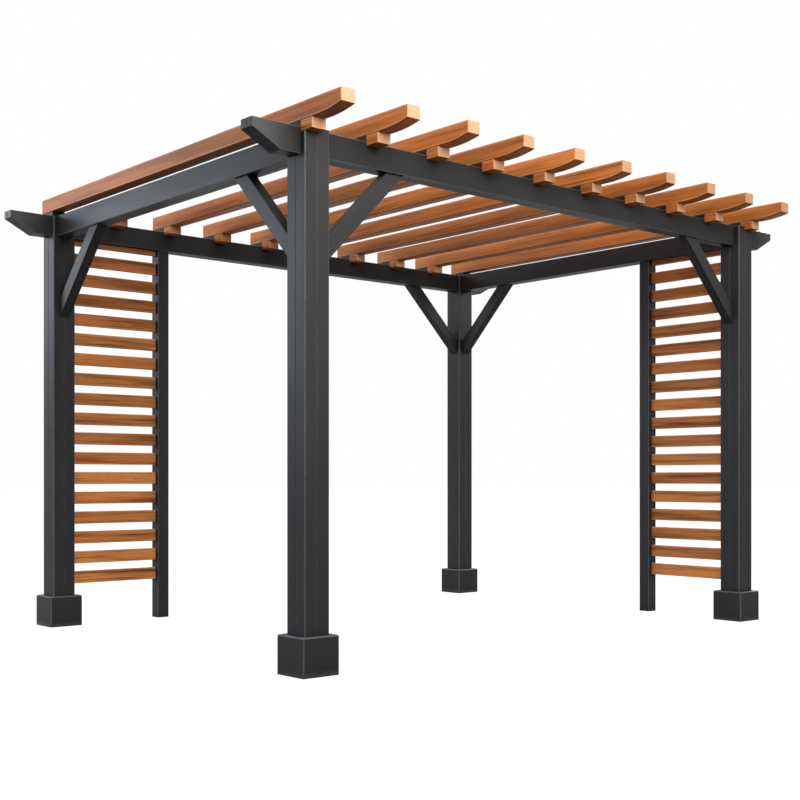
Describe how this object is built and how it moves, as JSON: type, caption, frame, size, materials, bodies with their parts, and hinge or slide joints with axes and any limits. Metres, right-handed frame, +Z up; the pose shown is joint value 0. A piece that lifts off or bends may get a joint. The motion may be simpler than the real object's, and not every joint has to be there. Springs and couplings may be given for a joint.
{
  "type": "wooden pergola",
  "caption": "Open garden pergola: dark square posts on plinths, raked-tail beams, knee braces, scooped wood rafters on packers and blocks, and slatted corner screens.",
  "frame": {"origin": "on the ground, under the middle of the roof", "axes": "+X along the two long beams, +Y along the rafters towards the back screen, +Z up"},
  "size_m": [3.853, 2.8355, 2.474],
  "materials": {
    "dark_paint": "dark charcoal paint on timber, satin",
    "stained_wood": "warm brown stain on timber, low sheen"
  },
  "bodies": {
    "root": {"front_left_post": "dark_paint", "front_left_plinth": "dark_paint", "front_right_post": "dark_paint", "front_right_plinth": "dark_paint", "back_left_post": "dark_paint", "back_left_plinth": "dark_paint", "back_right_post": "dark_paint", "back_right_plinth": "dark_paint", "front_beam": "dark_paint", "back_beam": "dark_paint", "left_cross_beam": "dark_paint", "right_cross_beam": "dark_paint", "front_brace_left": "dark_paint", "front_brace_right": "dark_paint", "left_brace_front": "dark_paint", "left_brace_back": "dark_paint", "back_brace_right": "dark_paint", "right_brace_back": "dark_paint", "rafter_01": "stained_wood", "rafter_02": "stained_wood", "rafter_03": "stained_wood", "rafter_04": "stained_wood", "rafter_05": "stained_wood", "rafter_06": "stained_wood", "rafter_07": "stained_wood", "rafter_08": "stained_wood", "rafter_09": "stained_wood", "rafter_10": "stained_wood", "front_packers": "dark_paint", "back_packers": "dark_paint", "front_outer_blocks": "stained_wood", "front_inner_blocks": "stained_wood", "back_inner_blocks": "stained_wood", "back_screen_post": "dark_paint", "right_screen_post": "dark_paint", "back_screen_slats": "stained_wood", "right_screen_slats": "stained_wood"}
  },
  "joints": []
}
